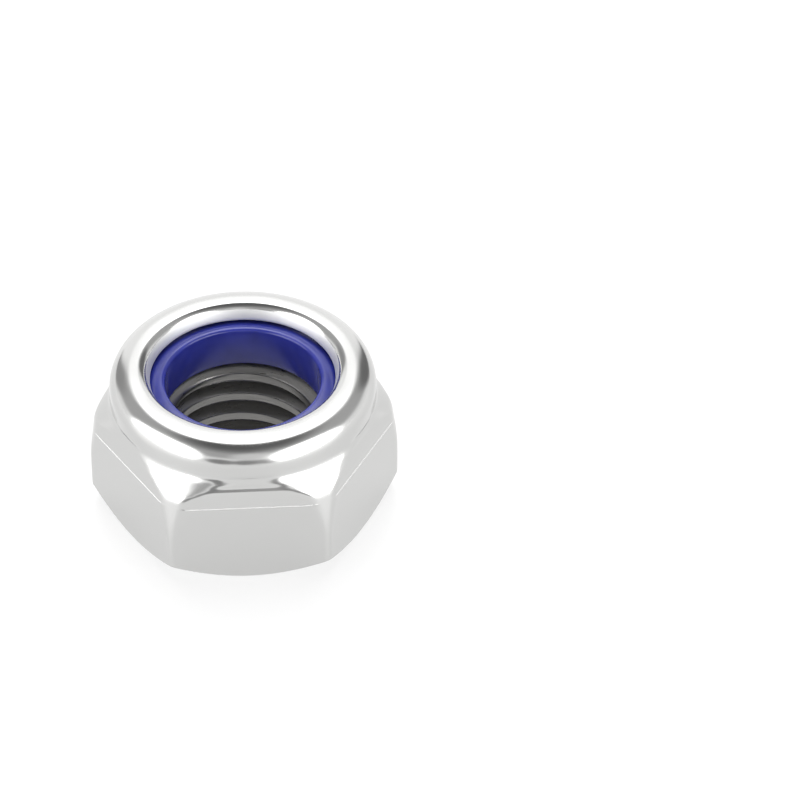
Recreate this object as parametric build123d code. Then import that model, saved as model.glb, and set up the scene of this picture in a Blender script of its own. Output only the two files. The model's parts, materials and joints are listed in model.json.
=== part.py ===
from build123d import *

import math
import os

# Hexagon lock nut with a nylon insert ring, in millimetres and degrees.
# The bearing face lies on Z = 0, the thread runs along +Z, and two flats face -Y and +Y.

# Thread
thread_diameter = 8.0
thread_pitch = 1.25
thread_engagement = 0.83
thread_flank_angle = 30.0
back_crest_height = 4.27
groove_overcut = 0.12
bearing_countersink = 0.2
seat_countersink = 0.05
countersink_slope = 30.0

# Nylon insert
insert_grip = 0.28
insert_wall = 1.53
insert_thickness = 2.11
insert_edge_radius = 0.13
seat_clearance = 0.02

# Heights of the metal body, stacked on each other
seat_height = 4.85
lip_end_height = 0.09
lip_roll_height = 0.75
waist_above_seat = 1.07
band_height = 1.52
shoulder_height = 2.99

# Radial steps, slopes and roundings of the metal body
lip_overhang = 0.85
collar_wall = 1.09
collar_roll_width = 1.04
collar_roll_height = 1.15
crown_width = 0.3
flat_step = 0.14
band_lean = 4.0
corner_radius = 0.45
bearing_face_step = 0.21
bearing_chamfer_slope = 36.5
shoulder_slope = 42.0

# Radii worked out from the thread outwards
flank_tangent = math.tan(math.radians(thread_flank_angle))
sharp_thread_height = thread_pitch / (2 * flank_tangent)
thread_radius = thread_diameter / 2
crest_radius = thread_radius - thread_engagement * 5 / 8 * sharp_thread_height
insert_bore_radius = thread_radius - insert_grip
insert_outer_radius = insert_bore_radius + insert_wall
seat_radius = insert_outer_radius + seat_clearance
lip_radius = seat_radius - lip_overhang
collar_radius = seat_radius + collar_wall
crown_radius = collar_radius - collar_roll_width
flat_distance = collar_radius + flat_step
hexagon_corner_radius = flat_distance / math.cos(math.radians(30))
bearing_face_radius = flat_distance - bearing_face_step

# Heights worked out from the bearing face up
insert_top = seat_height + insert_thickness
lip_top = insert_top + lip_end_height
overall_height = lip_top + lip_roll_height
waist_height = seat_height + waist_above_seat
crease_height = waist_height - band_height
shoulder_start_height = waist_height - shoulder_height


def turned(*outline):
    """Turn a closed outline in the XZ plane about the nut's axis."""
    return revolve(Plane.XZ * make_face(outline), Axis.Z)


def countersink_depth(mouth_radius):
    """Depth of a countersink that narrows from this radius to the thread's crests."""
    return (mouth_radius - crest_radius) * math.tan(math.radians(countersink_slope))


def rounded_hexagon(distance):
    """Hexagon with rounded corners, its flats at this distance from the axis."""
    outline = RegularPolygon(distance, 6, major_radius=False)
    return fillet(outline.vertices(), corner_radius)


def hexagon_blank():
    """Hexagon blank, upright up to the crease and leaning in over the band above it."""
    lean_in = band_height * math.tan(math.radians(band_lean))
    foot = rounded_hexagon(flat_distance)
    top = rounded_hexagon(flat_distance - lean_in)
    upright = extrude(foot, crease_height)
    band = loft([Pos(0, 0, crease_height) * foot, Pos(0, 0, waist_height) * top], ruled=True)
    return upright + band


def shoulder_envelope():
    """Turned form that chamfers the hexagon's foot and rounds its corners towards the waist."""
    chamfer_rise = hexagon_corner_radius - bearing_face_radius
    chamfer_rise *= math.tan(math.radians(bearing_chamfer_slope))
    chamfer_foot = (bearing_face_radius, 0)
    chamfer_top = (hexagon_corner_radius, chamfer_rise)
    shoulder_foot = (hexagon_corner_radius, shoulder_start_height)
    waist = (collar_radius, waist_height)
    shoulder_drop = hexagon_corner_radius - collar_radius
    shoulder_drop /= math.tan(math.radians(shoulder_slope))
    pull = (hexagon_corner_radius, waist_height - shoulder_drop)
    return turned(
        Polyline((0, waist_height), (0, 0), chamfer_foot, chamfer_top, shoulder_foot),
        Bezier(shoulder_foot, pull, waist),
        Line(waist, (0, waist_height)),
    )


def collar():
    """Round collar, rolled over at the top and down again to the lip that holds the insert."""
    wall_height = overall_height - collar_roll_height
    wall_top = (collar_radius, wall_height)
    lip_edge = (lip_radius, lip_top)
    inner_foot = (lip_radius, shoulder_start_height)
    outer_foot = (collar_radius, shoulder_start_height)
    crown_outer = (crown_radius, overall_height)
    crown_inner = (crown_radius - crown_width, overall_height)
    roll_centre = (crown_radius, wall_height)
    lip_centre = (crown_radius - crown_width, lip_top)
    lip_roll_width = crown_radius - crown_width - lip_radius
    return turned(
        Line(outer_foot, wall_top),
        EllipticalCenterArc(roll_centre, collar_roll_width, collar_roll_height, arc_size=90),
        Line(crown_outer, crown_inner),
        EllipticalCenterArc(lip_centre, lip_roll_width, lip_roll_height, 90, arc_size=90),
        Polyline(lip_edge, inner_foot, outer_foot),
    )


def bore_and_seat():
    """Space inside the body: countersinks, bore at the thread's crests and the insert's seat."""
    bearing_mouth_radius = thread_radius + bearing_countersink
    seat_mouth_radius = thread_radius + seat_countersink
    return turned(
        Polyline(
            (0, 0),
            (bearing_mouth_radius, 0),
            (crest_radius, countersink_depth(bearing_mouth_radius)),
            (crest_radius, seat_height - countersink_depth(seat_mouth_radius)),
            (seat_mouth_radius, seat_height),
            (seat_radius, seat_height),
            (seat_radius, insert_top),
            (lip_radius, insert_top),
            (lip_radius, overall_height),
            (0, overall_height),
            close=True,
        )
    )


def thread_groove():
    """Right-hand groove of the thread, from below the bearing face into the insert's seat."""
    root_half_width = thread_pitch / 16
    mouth_radius = crest_radius - groove_overcut
    mouth_half_width = root_half_width + (thread_radius - mouth_radius) * flank_tangent
    # On the +X side, where the helix starts, a groove is three quarters of a pitch
    # lower than the crest on the +Y side.
    start_height = back_crest_height - thread_pitch * 3 / 4
    start_height -= math.ceil(start_height / thread_pitch) * thread_pitch
    turns = math.ceil((seat_height + thread_pitch / 2 - start_height) / thread_pitch)
    turn = Helix(thread_pitch, thread_pitch, (thread_radius + crest_radius) / 2).edge()
    path = Wire([Pos(0, 0, start_height + count * thread_pitch) * turn for count in range(turns)])
    section = Polyline(
        (mouth_radius, start_height - mouth_half_width),
        (thread_radius, start_height - root_half_width),
        (thread_radius, start_height + root_half_width),
        (mouth_radius, start_height + mouth_half_width),
        close=True,
    )
    return sweep(Plane.XZ * make_face(section), path=path, is_frenet=True)


def nut_body():
    """Cold-formed metal body, one piece with its collar, lip and thread."""
    solid_body = (hexagon_blank() & shoulder_envelope()) + collar()
    return solid_body - bore_and_seat() - thread_groove()


def nylon_insert():
    """Moulded ring held between the seat and the rolled lip, its bore narrower than the screw."""
    insert = turned(
        Polyline(
            (insert_bore_radius, seat_height),
            (insert_outer_radius, seat_height),
            (insert_outer_radius, insert_top),
            (insert_bore_radius, insert_top),
            close=True,
        )
    )
    top_circles = insert.edges().filter_by(GeomType.CIRCLE).group_by(Axis.Z)[-1]
    return fillet(top_circles.sort_by(SortBy.RADIUS)[0], insert_edge_radius)


os.makedirs("parts", exist_ok=True)
export_step(nut_body(), "parts/nut_body.step")
export_step(nylon_insert(), "parts/nylon_insert.step")
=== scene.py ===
"""Looks of a nylon insert lock nut: bright steel body, blue nylon ring and a pale studio."""

import json
import logging
import math
from collections.abc import Callable
from dataclasses import dataclass
from enum import Enum

import bmesh
import bpy
from mathutils import Matrix, Vector


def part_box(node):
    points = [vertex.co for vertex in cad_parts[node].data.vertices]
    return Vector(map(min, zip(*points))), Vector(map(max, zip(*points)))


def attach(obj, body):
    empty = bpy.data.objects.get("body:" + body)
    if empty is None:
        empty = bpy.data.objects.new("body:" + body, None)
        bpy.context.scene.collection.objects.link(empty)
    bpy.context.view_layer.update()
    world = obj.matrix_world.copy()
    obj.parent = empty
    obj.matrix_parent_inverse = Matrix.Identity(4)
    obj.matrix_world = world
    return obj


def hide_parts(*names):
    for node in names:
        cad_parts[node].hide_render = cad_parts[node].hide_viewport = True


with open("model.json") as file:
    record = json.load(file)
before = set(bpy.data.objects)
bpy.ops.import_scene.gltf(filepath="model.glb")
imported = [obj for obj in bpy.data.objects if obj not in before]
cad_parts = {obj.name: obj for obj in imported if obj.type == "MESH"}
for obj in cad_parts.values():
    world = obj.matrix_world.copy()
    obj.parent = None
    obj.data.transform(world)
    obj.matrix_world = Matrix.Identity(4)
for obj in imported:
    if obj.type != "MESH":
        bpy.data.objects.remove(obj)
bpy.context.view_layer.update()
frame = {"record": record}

LOG = logging.getLogger("lock_nut")
MM = 0.001
FLATS = 6
FULL_TURN = 2 * math.pi
QUARTER_TURN = math.pi / 2
FLAT_TURN = FULL_TURN / FLATS
HALF_FLAT_TURN = FLAT_TURN / 2
CUT_TOLERANCE = 1e-5
WHITE = (1, 1, 1, 1)
# Most of a noise pattern's values lie between these two.
NOISE_LOW, NOISE_HIGH = 0.3, 0.7

Point = tuple[float, float]


def linear(hex_colour: str) -> tuple[float, float, float, float]:
    """Turn an sRGB hex colour into linear light.

    Args:
        hex_colour: six hexadecimal digits.

    Returns:
        Red, green, blue and an alpha of one.
    """
    parts = [int(hex_colour[i : i + 2], 16) / 255 for i in (0, 2, 4)]
    light = [p / 12.92 if p <= 0.04045 else ((p + 0.055) / 1.055) ** 2.4 for p in parts]
    return light[0], light[1], light[2], 1.0


def add_node(
    tree: bpy.types.NodeTree,
    kind: str,
    settings: dict[str, object] | None = None,
    inputs: dict[str | int, object] | None = None,
) -> bpy.types.Node:
    """Add one node with its settings, values and links.

    Args:
        tree: node tree that gets the node.
        kind: Blender's type name of the node.
        settings: properties of the node itself.
        inputs: value or output socket for each named or numbered input.

    Returns:
        The new node.
    """
    node = tree.nodes.new(kind)
    for name, value in (settings or {}).items():
        setattr(node, name, value)
    for name, value in (inputs or {}).items():
        if isinstance(value, bpy.types.NodeSocket):
            tree.links.new(value, node.inputs[name])
        else:
            node.inputs[name].default_value = value
    return node


def smooth_min(first: float, second: float, softness: float) -> float:
    """Smaller of two lengths, with their meeting rounded.

    Args:
        first: one length.
        second: the other length.
        softness: difference below which the two blend.

    Returns:
        The blended smaller length.
    """
    overlap = max(softness - abs(first - second), 0.0) / softness
    return min(first, second) - overlap * overlap * softness / 4


class Outline:
    """Open outline of radius and height in millimetres, drawn from point to point."""

    def __init__(self, radius: float, height: float) -> None:
        """Start the outline at one point.

        Args:
            radius: radius of the first point.
            height: height of the first point.
        """
        self.points: list[Point] = [(radius, height)]

    def line(self, radius: float, height: float, steps: int = 1) -> "Outline":
        """Draw a straight stretch to a point.

        Args:
            radius: radius of the end point.
            height: height of the end point.
            steps: number of equal pieces.

        Returns:
            The outline itself.
        """
        start_radius, start_height = self.points[-1]
        for step in range(1, steps + 1):
            share = step / steps
            out = start_radius + (radius - start_radius) * share
            self.points.append((out, start_height + (height - start_height) * share))
        return self

    def curve(self, pull: Point, end: Point, steps: int) -> "Outline":
        """Draw a quadratic curve that a pull point bends.

        Args:
            pull: point that both end tangents aim at.
            end: end point.
            steps: number of pieces.

        Returns:
            The outline itself.
        """
        start = self.points[-1]
        for step in range(1, steps + 1):
            t = step / steps
            self.points.append(
                tuple((1 - t) ** 2 * start[i] + 2 * t * (1 - t) * pull[i] + t * t * end[i] for i in (0, 1))
            )
        return self

    def roll_over(self, crown: Point, steps: int) -> "Outline":
        """Draw a quarter of an ellipse that starts upright and ends level.

        Args:
            crown: level end point.
            steps: number of pieces.

        Returns:
            The outline itself.
        """
        foot = self.points[-1]
        for step in range(1, steps + 1):
            angle = QUARTER_TURN * step / steps
            radius = crown[0] + (foot[0] - crown[0]) * math.cos(angle)
            self.points.append((radius, foot[1] + (crown[1] - foot[1]) * math.sin(angle)))
        return self

    def arc(self, centre: Point, sweep: float, steps: int) -> "Outline":
        """Draw an arc about a centre.

        Args:
            centre: centre of the arc.
            sweep: turned angle in radians, positive from radius towards height.
            steps: number of pieces.

        Returns:
            The outline itself.
        """
        across, up = (self.points[-1][i] - centre[i] for i in (0, 1))
        for step in range(1, steps + 1):
            angle = sweep * step / steps
            turned_across = across * math.cos(angle) - up * math.sin(angle)
            turned_up = across * math.sin(angle) + up * math.cos(angle)
            self.points.append((centre[0] + turned_across, centre[1] + turned_up))
        return self


def spin_outline(
    bm: bmesh.types.BMesh, points: list[Point], steps: int, rise_per_turn: float = 0.0, closed: bool = False
) -> list[bmesh.types.BMVert]:
    """Turn an outline once about the nut's axis.

    Args:
        bm: mesh that gets the surface.
        points: outline of radius and height.
        steps: number of steps in the full turn.
        rise_per_turn: height gained over the turn, for a helical surface.
        closed: whether the last point joins the first.

    Returns:
        The vertices of the new surface.
    """
    old = set(bm.verts)
    verts = [bm.verts.new((radius, 0.0, height)) for radius, height in points]
    pairs = list(zip(verts, verts[1:]))
    if closed:
        pairs.append((verts[-1], verts[0]))
    edges = [bm.edges.new(pair) for pair in pairs]
    bmesh.ops.spin(
        bm,
        geom=[*verts, *edges],
        cent=(0, 0, 0),
        axis=(0, 0, 1),
        dvec=(0, 0, rise_per_turn / steps),
        angle=FULL_TURN,
        steps=steps,
        use_merge=rise_per_turn == 0,
    )
    return [v for v in bm.verts if v not in old]


def reshape(verts: list[bmesh.types.BMVert], rule: Callable[[float, float, float], Point]) -> None:
    """Move vertices radially and in angle by a rule.

    Args:
        verts: vertices to move.
        rule: gives the new radius and angle from radius, angle and height.
    """
    for vert in verts:
        radius = math.hypot(vert.co.x, vert.co.y)
        radius, angle = rule(radius, math.atan2(vert.co.y, vert.co.x), vert.co.z)
        vert.co.x = radius * math.cos(angle)
        vert.co.y = radius * math.sin(angle)


def finish_piece(
    bm: bmesh.types.BMesh, name: str, node: str, materials: list[bpy.types.Material]
) -> bpy.types.Object:
    """Turn a mesh in millimetres into a smooth piece that stands for its CAD node.

    Args:
        bm: mesh in millimetres, freed here.
        name: name of the piece.
        node: CAD node that the piece replaces.
        materials: materials in the order of the faces' numbers.

    Returns:
        The new object, at the origin.
    """
    bmesh.ops.recalc_face_normals(bm, faces=bm.faces)
    bmesh.ops.scale(bm, vec=(MM, MM, MM), verts=bm.verts)
    mesh = bpy.data.meshes.new(name)
    bm.to_mesh(mesh)
    bm.free()
    mesh.shade_smooth()
    for material in materials:
        mesh.materials.append(material)
    piece = bpy.data.objects.new(name, mesh)
    bpy.context.scene.collection.objects.link(piece)
    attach(piece, "root")
    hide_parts(node)
    triangles = sum(len(polygon.vertices) - 2 for polygon in mesh.polygons)
    LOG.info("%s: %d triangles", name, triangles)
    return piece


class SteelSurface(Enum):
    """How a region of the steel body was made or painted, in the order of its material slots."""

    BURNISHED = "burnished steel"
    TAPPED = "tapped steel thread"
    EDGE_HIGHLIGHT = "scuffed steel edges"

    @property
    def number(self) -> int:
        """Number of the surface's material on the body."""
        return list(SteelSurface).index(self)


@dataclass(frozen=True)
class SteelFinish:
    """Stainless steel, cold formed and then burnished bright, with its patterns in millimetres."""

    # Burnished: the eye sees a clean mirror that is a little soft, with faint waves from forming.
    # The real grain is finer, and this is the finest that still shows.
    colour: str = "CBCBCA"
    roughness: float = 0.16
    polish_spread: Point = (0.8, 1.25)
    wave_length: float = 2.4
    wave_depth: float = 0.004
    grain_size: float = 0.05
    grain_depth: float = 0.0006
    # Tapped: duller, with short streaks along the turns where the tap tore the steel; its colour is
    # darkened as painted shade for the dim bore.
    shaded_thread_colour: str = "8A8987"
    thread_roughness: float = 0.33
    dull_spread: Point = (0.7, 1.4)
    tear_length: float = 0.9
    tear_height: float = 0.06
    tear_depth: float = 0.01
    tear_strength: float = 0.6
    # Painted highlight: a pale matt line, lighter than the steel, on the crease and on the lip's inner
    # edge, standing in for the light these edges catch.
    painted_highlight_colour: str = "E4E4E3"
    painted_highlight_roughness: float = 0.55

    def material(self, surface: SteelSurface) -> bpy.types.Material:
        """Build the steel for one region.

        Args:
            surface: how that region was made or painted.

        Returns:
            The material.
        """
        material = bpy.data.materials.new(surface.value)
        material.use_nodes = True
        tree = material.node_tree
        shader = tree.nodes["Principled BSDF"]
        shader.inputs["Metallic"].default_value = 1.0
        if surface is SteelSurface.BURNISHED:
            self.burnish(tree, shader)
        elif surface is SteelSurface.TAPPED:
            self.tear(tree, shader)
        else:
            # Painted highlight: a paler steel colour on the crease and the lip's inner edge.
            shader.inputs["Base Color"].default_value = linear(self.painted_highlight_colour)
            shader.inputs["Roughness"].default_value = self.painted_highlight_roughness
        return material

    def burnish(self, tree: bpy.types.NodeTree, shader: bpy.types.Node) -> None:
        """Give the bright outside its broad waves, fine grain and uneven polish.

        Args:
            tree: node tree of the material.
            shader: shader that gets the colour and the patterns.
        """
        shader.inputs["Base Color"].default_value = linear(self.colour)
        place = add_node(tree, "ShaderNodeTexCoord").outputs["Object"]
        waves = add_node(
            tree,
            "ShaderNodeTexNoise",
            {},
            {"Vector": place, "Scale": 1 / (self.wave_length * MM), "Detail": 1.0},
        )
        grain = add_node(
            tree,
            "ShaderNodeTexNoise",
            {},
            {"Vector": place, "Scale": 1 / (self.grain_size * MM), "Detail": 2.0},
        )
        polish = add_node(
            tree,
            "ShaderNodeMapRange",
            {},
            {
                "Value": waves.outputs["Fac"],
                "From Min": NOISE_LOW,
                "From Max": NOISE_HIGH,
                "To Min": self.roughness * self.polish_spread[0],
                "To Max": self.roughness * self.polish_spread[1],
            },
        )
        tree.links.new(polish.outputs["Result"], shader.inputs["Roughness"])
        coarse = add_node(
            tree,
            "ShaderNodeBump",
            {},
            {"Height": waves.outputs["Fac"], "Distance": self.wave_depth * MM, "Strength": 1.0},
        )
        fine = add_node(
            tree,
            "ShaderNodeBump",
            {},
            {
                "Height": grain.outputs["Fac"],
                "Distance": self.grain_depth * MM,
                "Strength": 1.0,
                "Normal": coarse.outputs["Normal"],
            },
        )
        tree.links.new(fine.outputs["Normal"], shader.inputs["Normal"])

    def tear(self, tree: bpy.types.NodeTree, shader: bpy.types.Node) -> None:
        """Give the thread the torn streaks that a tap leaves along its turns.

        Args:
            tree: node tree of the material.
            shader: shader that gets the colour and the streaks.
        """
        # Painted shade: the thread's colour is darkened for the dim inside of the bore.
        shader.inputs["Base Color"].default_value = linear(self.shaded_thread_colour)
        place = add_node(tree, "ShaderNodeTexCoord").outputs["Object"]
        along = 1 / (self.tear_length * MM)
        across = 1 / (self.tear_height * MM)
        stretched = add_node(
            tree, "ShaderNodeMapping", {}, {"Vector": place, "Scale": (along, along, across)}
        )
        streaks = add_node(
            tree,
            "ShaderNodeTexNoise",
            {},
            {"Vector": stretched.outputs["Vector"], "Scale": 1.0, "Detail": 3.0, "Roughness": 0.6},
        )
        dull = add_node(
            tree,
            "ShaderNodeMapRange",
            {},
            {
                "Value": streaks.outputs["Fac"],
                "From Min": NOISE_LOW,
                "From Max": NOISE_HIGH,
                "To Min": self.thread_roughness * self.dull_spread[0],
                "To Max": self.thread_roughness * self.dull_spread[1],
            },
        )
        tree.links.new(dull.outputs["Result"], shader.inputs["Roughness"])
        torn = add_node(
            tree,
            "ShaderNodeBump",
            {},
            {
                "Height": streaks.outputs["Fac"],
                "Distance": self.tear_depth * MM,
                "Strength": self.tear_strength,
            },
        )
        tree.links.new(torn.outputs["Normal"], shader.inputs["Normal"])


@dataclass(frozen=True)
class NylonFinish:
    """Injection moulded polyamide, dyed blue through and through, with its patterns in millimetres."""

    # The eye sees a deep, slightly waxy blue with soft highlights on its edges.
    # The real pores are finer, and these are the finest that still show.
    deep_colour: str = "252B7C"
    light_colour: str = "323A9C"
    roughness: float = 0.17
    refraction: float = 1.53
    mottle_size: float = 1.1
    pore_size: float = 0.07
    pore_depth: float = 0.0015
    glow_share: float = 0.15
    glow_depth: float = 0.35
    glow_spread: tuple[float, float, float] = (0.25, 0.35, 1.0)

    def material(self) -> bpy.types.Material:
        """Build the nylon.

        Returns:
            The material.
        """
        material = bpy.data.materials.new("moulded blue nylon")
        material.use_nodes = True
        tree = material.node_tree
        shader = tree.nodes["Principled BSDF"]
        shader.inputs["Roughness"].default_value = self.roughness
        shader.inputs["IOR"].default_value = self.refraction
        shader.inputs["Subsurface Weight"].default_value = self.glow_share
        shader.inputs["Subsurface Radius"].default_value = self.glow_spread
        shader.inputs["Subsurface Scale"].default_value = self.glow_depth * MM
        place = add_node(tree, "ShaderNodeTexCoord").outputs["Object"]
        mottle = add_node(
            tree,
            "ShaderNodeTexNoise",
            {},
            {"Vector": place, "Scale": 1 / (self.mottle_size * MM), "Detail": 2.0},
        )
        dye = add_node(
            tree,
            "ShaderNodeMix",
            {"data_type": "RGBA"},
            {0: mottle.outputs["Fac"], 6: linear(self.deep_colour), 7: linear(self.light_colour)},
        )
        tree.links.new(dye.outputs[2], shader.inputs["Base Color"])
        pores = add_node(
            tree,
            "ShaderNodeTexNoise",
            {},
            {"Vector": place, "Scale": 1 / (self.pore_size * MM), "Detail": 2.0},
        )
        skin = add_node(
            tree,
            "ShaderNodeBump",
            {},
            {"Height": pores.outputs["Fac"], "Distance": self.pore_depth * MM, "Strength": 1.0},
        )
        tree.links.new(skin.outputs["Normal"], shader.inputs["Normal"])
        return material


@dataclass
class NutBody:
    """Cold-formed metal body: hexagon, shoulder, rolled collar, lip, seat and thread.

    Lengths are in millimetres. The overall sizes come from the frame.
    """

    flat_distance: float
    height: float
    seat_height: float
    seat_depth: float
    crest_radius: float

    # Columns of the mesh, crowded at the hexagon's corners, and its small edges
    steps: int = 432
    warp: float = 0.6
    sharp_edge: float = math.radians(25)
    edge_rounding: float = 0.03
    edge_segments: int = 3

    # Hexagon, its chamfered foot and the crease where its flats start to lean in
    corner_radius: float = 0.45
    chamfer_inset: float = 0.21
    chamfer_slope: float = math.radians(36.5)
    foot_softness: float = 0.07
    crease_height: float = 4.40
    crease_softness: float = 0.05
    crease_burr: float = 0.014
    crease_width: float = 0.035
    # Heights of the rings that carry the burr, in crease widths above the crease
    crease_rings: tuple[float, ...] = (-1, -0.5, 0, 0.5, 1, 1.5, 2)
    band_lean: float = math.radians(4.0)
    step_height: float = 5.45
    step_slope: float = math.radians(40)
    step_softness: float = 0.12

    # Shoulder, from the corners round the bend and down into the waist below the collar
    shoulder_start: float = 2.6
    shoulder_pull: Point = (7.33, 3.6)
    shoulder_side: Point = (7.18, 4.62)
    bend_pull: Point = (7.125, 4.94)
    shoulder_bend: Point = (6.93, 5.16)
    shoulder_root: Point = (6.54, 5.65)
    shoulder_softness: float = 0.15
    waist_pull: Point = (6.375, 5.86)
    waist_height: float = 6.09

    # Rolled collar and lip
    collar_inset: float = 0.14
    roll_width: float = 1.04
    roll_height: float = 1.15
    crown_width: float = 0.3
    crown_fall: float = 0.004
    lip_radius: float = 4.42
    lip_end_height: float = 0.09
    lip_lean: float = 0.18
    lip_end: float = 0.05
    # Width of the lip's inner edge that gets the painted highlight
    lip_highlight_width: float = 0.17
    seat_radius: float = 5.27

    # Thread and the countersinks at both of its mouths
    thread_steps: int = 288
    pitch: float = 1.25
    root_radius: float = 4.0
    crest_width: float = 0.445
    back_crest_height: float = 4.27
    flank_shares: tuple[float, ...] = (0.12, 0.3, 0.5, 0.7, 0.88)
    bearing_countersink: float = 0.2
    seat_countersink: float = 0.05
    countersink_slope: float = math.radians(30)

    # Gaps between the thread and the blank, closed when the bore is joined
    bearing_seam: float = 0.05
    seat_seam: float = 0.006
    seam_width: float = 0.012

    @property
    def collar_radius(self) -> float:
        """Outer radius of the collar."""
        return self.flat_distance - self.collar_inset

    @property
    def corner_distance(self) -> float:
        """Distance from the axis to a sharp hexagon corner."""
        return self.flat_distance / math.cos(HALF_FLAT_TURN)

    @property
    def seat_top(self) -> float:
        """Height up to which the insert fills the seat."""
        return self.seat_height + self.seat_depth

    def cone_radius(self, height: float) -> float:
        """Radius of the countersinks that open the bore at both mouths.

        Args:
            height: height above the bearing face.

        Returns:
            Radius of the wider cone at that height.
        """
        slope = math.tan(self.countersink_slope)
        foot = self.root_radius + self.bearing_countersink - height / slope
        top = self.root_radius + self.seat_countersink - (self.seat_height - height) / slope
        return max(foot, top)

    def blank_outline(self) -> Outline:
        """Outline of the turned blank, from the bearing face's countersink round to the seat.

        Returns:
            The outline of everything but the bore.
        """
        foot = self.flat_distance - self.chamfer_inset
        rise = (self.corner_distance - foot) * math.tan(self.chamfer_slope)
        crown = self.collar_radius - self.roll_width
        inner_crown = crown - self.crown_width
        lip_top = self.seat_top + self.lip_end_height
        seat_mouth = self.seat_height - self.seat_seam
        under_lip = lip_top - self.lip_end

        outline = Outline(self.cone_radius(self.bearing_seam), self.bearing_seam)
        outline.line(self.cone_radius(0), 0)
        outline.line(foot, 0, steps=6)
        outline.line(self.corner_distance, rise, steps=14)
        outline.line(self.corner_distance, self.shoulder_start, steps=12)

        outline.curve(self.shoulder_pull, self.shoulder_side, steps=18)
        outline.curve(self.bend_pull, self.shoulder_bend, steps=12)
        outline.line(*self.shoulder_root, steps=5)
        outline.curve(self.waist_pull, (self.collar_radius, self.waist_height), steps=12)

        outline.line(self.collar_radius, self.height - self.roll_height, steps=3)
        outline.roll_over((crown, self.height), steps=20)
        crown_middle = (crown - self.crown_width / 2, self.height)
        outline.curve(crown_middle, (inner_crown, self.height - self.crown_fall), steps=4)
        outline.curve((self.lip_radius + self.lip_lean, self.height), (self.lip_radius, lip_top), steps=18)
        outline.line(self.lip_radius, under_lip)

        outline.line(self.seat_radius, under_lip, steps=2)
        outline.line(self.seat_radius, self.seat_height, steps=3)
        outline.line(self.cone_radius(self.seat_height), self.seat_height, steps=4)
        outline.line(self.cone_radius(seat_mouth), seat_mouth)
        return outline

    @staticmethod
    def off_flat(angle: float) -> float:
        """Find how far a direction turns away from the middle of the nearest flat.

        Args:
            angle: direction about the axis.

        Returns:
            Angle between minus and plus half a flat's turn.
        """
        return (angle + QUARTER_TURN + HALF_FLAT_TURN) % FLAT_TURN - HALF_FLAT_TURN

    def hexagon_radius(self, angle: float, height: float) -> float:
        """Distance from the axis to the rounded hexagon.

        Args:
            angle: direction about the axis.
            height: height above the bearing face.

        Returns:
            The hexagon's radius there, leaning in above the crease.
        """
        above = height - self.crease_height
        over = height - self.step_height
        ramp = (above + math.hypot(above, self.crease_softness)) / 2
        step = (over + math.hypot(over, self.step_softness)) / 2
        flat = self.flat_distance - ramp * math.tan(self.band_lean) - step * math.tan(self.step_slope)
        flat = -smooth_min(-flat, -self.collar_radius, self.edge_rounding)
        flat -= self.crease_burr * min((above / self.crease_width) ** 2, 1.0)
        off_flat = self.off_flat(angle)
        if abs(flat * math.tan(off_flat)) <= (flat - self.corner_radius) * math.tan(HALF_FLAT_TURN):
            return flat / math.cos(off_flat)
        off_corner = HALF_FLAT_TURN - abs(off_flat)
        centre = (flat - self.corner_radius) / math.cos(HALF_FLAT_TURN)
        across = centre * math.sin(off_corner)
        return centre * math.cos(off_corner) + math.sqrt(self.corner_radius**2 - across**2)

    def faces_flat(self, normal: Vector) -> bool:
        """Tell whether a direction points squarely out of one of the six flats.

        Args:
            normal: direction to test.

        Returns:
            True within a tenth of a flat's turn.
        """
        return abs(self.off_flat(math.atan2(normal.y, normal.x))) < FLAT_TURN / 10

    def press_hexagon(self, radius: float, angle: float, height: float) -> Point:
        """Press the turned blank into the hexagon and crowd its columns at the corners.

        Args:
            radius: radius of the blank.
            angle: direction about the axis.
            height: height above the bearing face.

        Returns:
            The pressed radius and the new angle.
        """
        angle -= self.warp / FLATS * math.sin(FLATS * angle)
        if radius <= self.seat_radius or height > self.waist_height:
            return radius, angle
        near_foot = height < self.crease_height / 2
        softness = self.foot_softness if near_foot else self.shoulder_softness
        return smooth_min(radius, self.hexagon_radius(angle, height), softness), angle

    def thread_outline(self) -> list[Point]:
        """Outline of the thread's crests and roots, longer than the bore at both ends.

        Returns:
            Points of radius and height along the +X side.
        """
        root_width = self.pitch / 8
        crest = self.crest_width / 2
        root = self.pitch / 2 - root_width / 2
        rounding = self.edge_rounding
        half = [
            (self.crest_radius, 0.0),
            (self.crest_radius, crest - 3 * rounding),
            (self.crest_radius, crest - rounding),
        ]
        slope = (self.root_radius - self.crest_radius) / (root - crest)
        half.append((self.crest_radius + slope * rounding / 3, crest + rounding / 4))
        for share in self.flank_shares:
            climb = (root - crest) * share
            half.append((self.crest_radius + slope * climb, crest + climb))
        half.append((self.root_radius - slope * rounding / 3, root - rounding / 4))
        half.append((self.root_radius, root + rounding))
        half.append((self.root_radius, self.pitch / 2))
        turn = half[:-1] + [(radius, self.pitch - height) for radius, height in reversed(half[1:])]
        # The outline starts on the +X side, a quarter of a turn before the +Y side.
        first = self.back_crest_height - self.pitch / 4
        first -= math.ceil(first / self.pitch + 1) * self.pitch
        count = math.ceil((self.seat_height - first) / self.pitch) + 1
        return [
            (radius, first + number * self.pitch + height)
            for number in range(count)
            for radius, height in turn
        ]

    def countersink(self, radius: float, angle: float, height: float) -> Point:
        """Open the thread into the countersinks of both mouths.

        Args:
            radius: radius of the thread.
            angle: direction about the axis.
            height: height above the bearing face.

        Returns:
            The opened radius and the same angle.
        """
        return -smooth_min(-radius, -self.cone_radius(height), self.edge_rounding), angle

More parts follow.
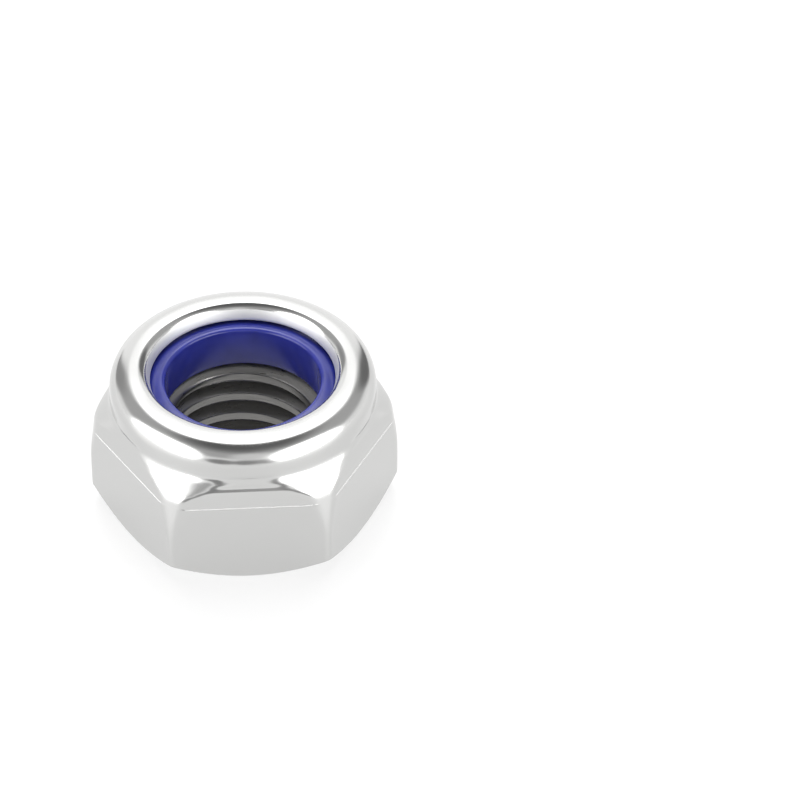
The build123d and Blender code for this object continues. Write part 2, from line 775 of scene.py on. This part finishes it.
    def cut_thread(self, bm: bmesh.types.BMesh) -> None:
        """Spin the thread along its helix, trim it to the bore and open its mouths.

        Args:
            bm: mesh that gets the thread.
        """
        thread = spin_outline(bm, self.thread_outline(), self.thread_steps, rise_per_turn=self.pitch)
        bmesh.ops.remove_doubles(bm, verts=thread, dist=self.edge_rounding / 20)
        foot = self.bearing_seam + self.seam_width
        top = self.seat_height - self.seat_seam - self.seam_width
        for height, direction in ((foot, -1), (top, 1)):
            bmesh.ops.bisect_plane(
                bm,
                geom=[*bm.verts, *bm.edges, *bm.faces],
                plane_co=(0, 0, height),
                plane_no=(0, 0, direction),
                clear_outer=True,
                dist=CUT_TOLERANCE,
            )
        reshape(list(bm.verts), self.countersink)
        for face in bm.faces:
            face.material_index = SteelSurface.TAPPED.number

    def score_crease(self, bm: bmesh.types.BMesh) -> set[bmesh.types.BMVert]:
        """Cut rings round the outside at the crease, fine enough for its burr.

        Args:
            bm: mesh with the turned blank.

        Returns:
            The vertices of the new rings.
        """
        rings = set()
        for widths in self.crease_rings:
            outside = [f for f in bm.faces if f.calc_center_median().xy.length > self.collar_radius]
            edges = {e for f in outside for e in f.edges}
            verts = {v for f in outside for v in f.verts}
            cut = bmesh.ops.bisect_plane(
                bm,
                geom=[*outside, *edges, *verts],
                plane_co=(0, 0, self.crease_height + self.crease_width * widths),
                plane_no=(0, 0, 1),
                dist=CUT_TOLERANCE,
            )
            rings |= {part for part in cut["geom_cut"] if isinstance(part, bmesh.types.BMVert)}
        return {vert for vert in rings if vert.is_valid}

    def paint_edge_highlights(self, bm: bmesh.types.BMesh) -> None:
        """Mark the faces on the flats' crease and on the lip's inner edge for the painted highlight.

        Args:
            bm: mesh with the pressed hexagon.
        """
        bm.normal_update()
        for face in bm.faces:
            middle = face.calc_center_median()
            radius = middle.xy.length
            at_crease = abs(middle.z - self.crease_height) < self.crease_width
            on_crease = at_crease and radius > self.collar_radius and self.faces_flat(face.normal)
            on_lip = middle.z > self.seat_top and radius < self.lip_radius + self.lip_highlight_width
            if on_crease or on_lip:
                face.material_index = SteelSurface.EDGE_HIGHLIGHT.number

    def join_bore(self, bm: bmesh.types.BMesh) -> None:
        """Close the seams between the thread and the rest of the body.

        Args:
            bm: mesh with the open thread and the open blank.
        """
        rims = [e for e in bm.edges if e.is_boundary]
        for lower in (True, False):
            pair = [e for e in rims if (e.verts[0].co.z < self.seat_height / 2) == lower]
            bmesh.ops.bridge_loops(bm, edges=pair)

    def build(self, finish: SteelFinish) -> bpy.types.Object:
        """Model the body and dress it.

        Args:
            finish: finish of the steel.

        Returns:
            The finished piece.
        """
        bm = bmesh.new()
        self.cut_thread(bm)
        blank = set(spin_outline(bm, self.blank_outline().points, self.steps))
        sharp = [
            e
            for e in bm.edges
            if e.verts[0] in blank and not e.is_boundary and e.calc_face_angle(0.0) > self.sharp_edge
        ]
        bevelled = bmesh.ops.bevel(
            bm,
            geom=sharp,
            offset=self.edge_rounding,
            offset_type="OFFSET",
            segments=self.edge_segments,
            profile=0.5,
            affect="EDGES",
            material=-1,
            clamp_overlap=True,
        )
        blank = {v for v in blank if v.is_valid} | set(bevelled["verts"])
        blank |= self.score_crease(bm)
        reshape(list(blank), self.press_hexagon)
        # Faces on the crease and the lip's inner edge get the painted highlight.
        self.paint_edge_highlights(bm)
        self.join_bore(bm)
        materials = [finish.material(surface) for surface in SteelSurface]
        return finish_piece(bm, "steel_nut_body", "nut_body", materials)


@dataclass
class InsertRing:
    """Moulded nylon ring between the seat and the rolled lip, in millimetres."""

    bore_radius: float
    outer_radius: float
    foot: float
    top: float
    mouth_rounding: float = 0.18
    hidden_rounding: float = 0.05
    level_width: float = 0.45
    rim_fall: float = 0.42
    steps: int = 256

    def outline(self) -> Outline:
        """Outline of the ring, once round its section.

        Returns:
            The outline, whose ends meet when it is closed.
        """
        mouth, hidden = self.mouth_rounding, self.hidden_rounding
        rim = self.top - self.rim_fall
        outline = Outline(self.bore_radius, self.foot + hidden)
        outline.line(self.bore_radius, self.top - mouth, steps=10)
        outline.arc((self.bore_radius + mouth, self.top - mouth), -QUARTER_TURN, steps=8)
        level_end = (self.bore_radius + self.level_width, self.top)
        outline.curve(level_end, (self.outer_radius - hidden, rim), steps=12)
        outline.arc((self.outer_radius - hidden, rim - hidden), -QUARTER_TURN, steps=3)
        outline.line(self.outer_radius, self.foot + hidden, steps=4)
        outline.arc((self.outer_radius - hidden, self.foot + hidden), -QUARTER_TURN, steps=3)
        outline.line(self.bore_radius + hidden, self.foot, steps=4)
        outline.arc((self.bore_radius + hidden, self.foot + hidden), -QUARTER_TURN, steps=3)
        outline.points.pop()
        return outline

    def build(self, finish: NylonFinish) -> bpy.types.Object:
        """Model the ring and dress it.

        Args:
            finish: finish of the nylon.

        Returns:
            The finished piece.
        """
        bm = bmesh.new()
        spin_outline(bm, self.outline().points, self.steps, closed=True)
        return finish_piece(bm, "blue_nylon_ring", "nylon_insert", [finish.material()])


@dataclass(frozen=True)
class Panel:
    """Round soft-edged panel of the studio, its angles in degrees and its brightness beside white."""

    azimuth: float
    elevation: float
    inner: float
    outer: float
    brightness: float

    def direction(self) -> Vector:
        """Direction to the panel, azimuth counted from the camera's side."""
        turn, rise = math.radians(self.azimuth), math.radians(self.elevation)
        return Vector((math.sin(turn) * math.cos(rise), -math.cos(turn) * math.cos(rise), math.sin(rise)))


@dataclass
class Studio:
    """White table, softboxes around it and the camera, lengths in millimetres."""

    object_height: float
    table_size: float = 1200.0
    table_front: float = 24.0
    table_colour: str = "7C7C7C"
    table_roughness: float = 0.4
    table_gloss: float = 1.5
    table_white: float = 0.75
    camera_distance: float = 182.0
    camera_elevation: float = 39.92
    camera_turn: float = 1.208
    camera_roll: float = 1.463
    focal_pixels: float = 3778.3
    picture_pixels: float = 800.0
    centre_pixel: Point = (244.03, 427.38)
    sensor_width: float = 36.0
    nearest_seen: float = 10.0
    farthest_seen: float = 10000.0
    ceiling: float = 0.55
    backdrop: float = 1.1
    backdrop_foot: float = 6.0
    backdrop_top: float = 20.0
    panels: tuple[Panel, ...] = (
        # Dim ceiling over the nut
        Panel(0, 76, 10, 48, 0.14),
        # Dim corners behind it
        Panel(145, 16, 14, 25, 0.2),
        Panel(-146, 16, 12, 23, 0.4),
        # Grey front, with three dark patches low down
        Panel(4, 22, 6, 20, 0.9),
        Panel(-20, -5, 7, 14, 0.33),
        Panel(0, -5, 7, 14, 0.33),
        Panel(18, -5, 7, 14, 0.33),
        # Softboxes at the left and right
        Panel(-68, 6, 26, 36, 4.0),
        Panel(50, 5, 25, 35, 4.0),
        # White wall behind, and a softbox high above it
        Panel(180, 12, 25, 31, 1.28),
        Panel(176, 67, 12, 31, 4.5),
    )

    def seen_directly(self, tree: bpy.types.NodeTree, share: float) -> bpy.types.NodeSocket:
        """Share of plain white that the eye, metal and glass get, and light on the nut doesn't.

        Args:
            tree: node tree that gets the nodes.
            share: largest share of white.

        Returns:
            Output socket with the share for the ray at hand.
        """
        path = add_node(tree, "ShaderNodeLightPath")
        mirrored = add_node(
            tree,
            "ShaderNodeMath",
            {"operation": "MAXIMUM"},
            {0: path.outputs["Is Glossy Ray"], 1: path.outputs["Is Transmission Ray"]},
        )
        seen = add_node(
            tree,
            "ShaderNodeMath",
            {"operation": "MAXIMUM"},
            {0: path.outputs["Is Camera Ray"], 1: mirrored.outputs[0]},
        )
        part = add_node(tree, "ShaderNodeMath", {"operation": "MULTIPLY"}, {0: seen.outputs[0], 1: share})
        return part.outputs[0]

    def lay_table(self) -> None:
        """Lay the glossy white table that the nut stands on."""
        bm = bmesh.new()
        bmesh.ops.create_grid(bm, x_segments=1, y_segments=1, size=self.table_size / 2 * MM)
        bmesh.ops.translate(bm, vec=(0, (self.table_size / 2 - self.table_front) * MM, 0), verts=bm.verts)
        mesh = bpy.data.meshes.new("table")
        bm.to_mesh(mesh)
        bm.free()
        material = bpy.data.materials.new("glossy white acrylic")
        material.use_nodes = True
        tree = material.node_tree
        shader = tree.nodes["Principled BSDF"]
        shader.inputs["Base Color"].default_value = linear(self.table_colour)
        shader.inputs["Roughness"].default_value = self.table_roughness
        shader.inputs["IOR"].default_value = self.table_gloss
        white = add_node(
            tree,
            "ShaderNodeEmission",
            {},
            {"Color": WHITE, "Strength": self.seen_directly(tree, self.table_white)},
        )
        lit = add_node(tree, "ShaderNodeAddShader", {}, {0: shader.outputs[0], 1: white.outputs[0]})
        tree.links.new(lit.outputs[0], tree.nodes["Material Output"].inputs["Surface"])
        mesh.materials.append(material)
        table = bpy.data.objects.new("table", mesh)
        bpy.context.scene.collection.objects.link(table)

    def hang_panels(self, tree: bpy.types.NodeTree) -> bpy.types.NodeSocket:
        """Hang the panels in front of the ceiling and the white backdrop, one over the other.

        Args:
            tree: node tree of the surroundings.

        Returns:
            Output socket with the brightness in each direction.
        """
        direction = add_node(tree, "ShaderNodeTexCoord").outputs["Generated"]
        height = add_node(tree, "ShaderNodeSeparateXYZ", {}, {0: direction}).outputs["Z"]
        backdrop = add_node(
            tree,
            "ShaderNodeMapRange",
            {"interpolation_type": "SMOOTHSTEP"},
            {
                "Value": height,
                "From Min": math.sin(math.radians(self.backdrop_foot)),
                "From Max": math.sin(math.radians(self.backdrop_top)),
                "To Min": self.backdrop,
                "To Max": self.ceiling,
            },
        )
        brightness = backdrop.outputs["Result"]
        for panel in self.panels:
            along = add_node(
                tree,
                "ShaderNodeVectorMath",
                {"operation": "DOT_PRODUCT"},
                {0: direction, 1: panel.direction()},
            )
            cover = add_node(
                tree,
                "ShaderNodeMapRange",
                {"interpolation_type": "SMOOTHSTEP"},
                {
                    "Value": along.outputs["Value"],
                    "From Min": math.cos(math.radians(panel.outer)),
                    "From Max": math.cos(math.radians(panel.inner)),
                },
            )
            over = add_node(
                tree, "ShaderNodeMix", {}, {0: cover.outputs["Result"], 2: brightness, 3: panel.brightness}
            )
            brightness = over.outputs[0]
        return brightness

    def light(self) -> None:
        """Light the studio with its panels; the eye sees plain white past the table."""
        world = bpy.data.worlds.new("studio")
        bpy.context.scene.world = world
        world.use_nodes = True
        tree = world.node_tree
        tree.nodes.clear()
        soft = add_node(
            tree, "ShaderNodeBackground", {}, {"Color": WHITE, "Strength": self.hang_panels(tree)}
        )
        white = add_node(tree, "ShaderNodeBackground", {}, {"Color": WHITE, "Strength": 1.0})
        path = add_node(tree, "ShaderNodeLightPath")
        seen = add_node(
            tree,
            "ShaderNodeMixShader",
            {},
            {0: path.outputs["Is Camera Ray"], 1: soft.outputs[0], 2: white.outputs[0]},
        )
        add_node(tree, "ShaderNodeOutputWorld", {}, {"Surface": seen.outputs[0]})

    def place_camera(self) -> None:
        """Place the camera where the photograph was taken from."""
        rise, turn, roll = (
            math.radians(a) for a in (self.camera_elevation, self.camera_turn, self.camera_roll)
        )
        back = Vector((-math.sin(turn) * math.cos(rise), -math.cos(turn) * math.cos(rise), math.sin(rise)))
        level_right = Vector((math.cos(turn), -math.sin(turn), 0))
        level_up = back.cross(level_right)
        right = level_right * math.cos(roll) - level_up * math.sin(roll)
        up = level_right * math.sin(roll) + level_up * math.cos(roll)
        data = bpy.data.cameras.new("camera")
        data.sensor_width = self.sensor_width
        data.lens = self.focal_pixels / self.picture_pixels * data.sensor_width
        data.clip_start = self.nearest_seen * MM
        data.clip_end = self.farthest_seen * MM
        camera = bpy.data.objects.new("camera", data)
        bpy.context.scene.collection.objects.link(camera)
        middle = self.picture_pixels / 2
        across = (middle - self.centre_pixel[0]) / self.focal_pixels
        above = (self.centre_pixel[1] - middle) / self.focal_pixels
        ahead = (right * across + up * above - back).normalized()
        side = (right - ahead * right.dot(ahead)).normalized()
        place = Matrix((side, side.cross(ahead), -ahead)).transposed().to_4x4()
        place.translation = Vector((0, 0, self.object_height / 2 * MM)) + back * self.camera_distance * MM
        camera.matrix_world = place
        bpy.context.scene.camera = camera

    def build(self) -> None:
        """Set up the table, the light and the camera."""
        self.lay_table()
        self.light()
        self.place_camera()
        bpy.context.scene.view_settings.view_transform = "Standard"


def in_millimetres(corner: Vector) -> Vector:
    """Turn a corner of the frame into millimetres."""
    return Vector(corner) / MM


def main() -> None:
    """Build the nut's two pieces and the studio."""
    logging.basicConfig(level=logging.INFO, format="%(name)s: %(message)s")
    mounts = {mount["name"]: mount["dims"] for mount in frame["record"]["mounts"]}
    body_low, body_high = map(in_millimetres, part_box("nut_body"))
    ring_low, ring_high = map(in_millimetres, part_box("nylon_insert"))
    body = NutBody(
        flat_distance=body_high.y,
        height=body_high.z,
        seat_height=ring_low.z,
        seat_depth=ring_high.z - ring_low.z,
        crest_radius=mounts["thread"]["r_mm"],
    )
    ring = InsertRing(
        bore_radius=mounts["locking_bore"]["r_mm"],
        outer_radius=ring_high.x,
        foot=ring_low.z,
        top=ring_high.z,
    )
    for piece in (body.build(SteelFinish()), ring.build(NylonFinish())):
        LOG.info("%s stands in the frame", piece.name)
    Studio(object_height=body_high.z).build()


if __name__ == "__main__":
    main()
